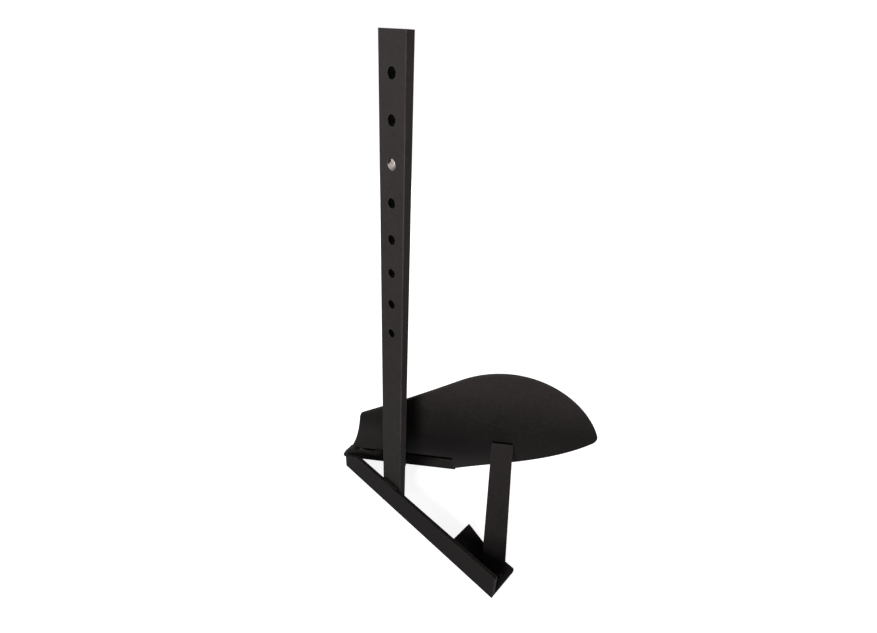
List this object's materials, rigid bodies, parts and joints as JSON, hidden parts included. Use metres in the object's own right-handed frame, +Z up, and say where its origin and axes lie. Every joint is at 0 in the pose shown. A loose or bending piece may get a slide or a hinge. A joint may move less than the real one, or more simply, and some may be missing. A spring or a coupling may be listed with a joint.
{
  "type": "mouldboard plough",
  "caption": "Right-hand mouldboard plough body of black-painted flat steel: share, rolled mouldboard, landside, heel plate and strut, on an upright shank drilled for depth setting.",
  "frame": {"origin": "on the sole, in the middle of the landside's thickness, level with the shank's centre line", "axes": "+X to the furrow side, +Y forward along the travel, +Z up along the shank"},
  "size_m": [0.2099, 0.3148, 0.597],
  "materials": {
    "black_paint": "satin black paint on hot-rolled steel",
    "zinc_plate": "dull zinc plate",
    "bright_steel": "bare drawn steel"
  },
  "bodies": {
    "plough": {"shank": "black_paint", "landside": "black_paint", "heel_plate": "black_paint", "share": "black_paint", "mouldboard": "black_paint", "frog_strap": "black_paint", "frog_web": "black_paint", "strut": "black_paint", "shank_welds": "black_paint", "heel_weld": "black_paint", "strut_foot_weld": "black_paint", "strut_head_weld": "black_paint", "seam_welds": "black_paint", "web_shank_welds": "black_paint", "web_strap_welds": "black_paint", "share_bolts": "zinc_plate", "share_washers": "zinc_plate", "share_nuts": "zinc_plate", "mouldboard_bolts": "zinc_plate", "mouldboard_washers": "zinc_plate", "mouldboard_nuts": "zinc_plate"},
    "pin": {"setting_pin": "bright_steel"}
  },
  "joints": [
    {"name": "pin_slide", "type": "slide", "parent": "plough", "child": "pin", "axis": [1, 0, 0], "range_m": [0, 0.025]}
  ]
}
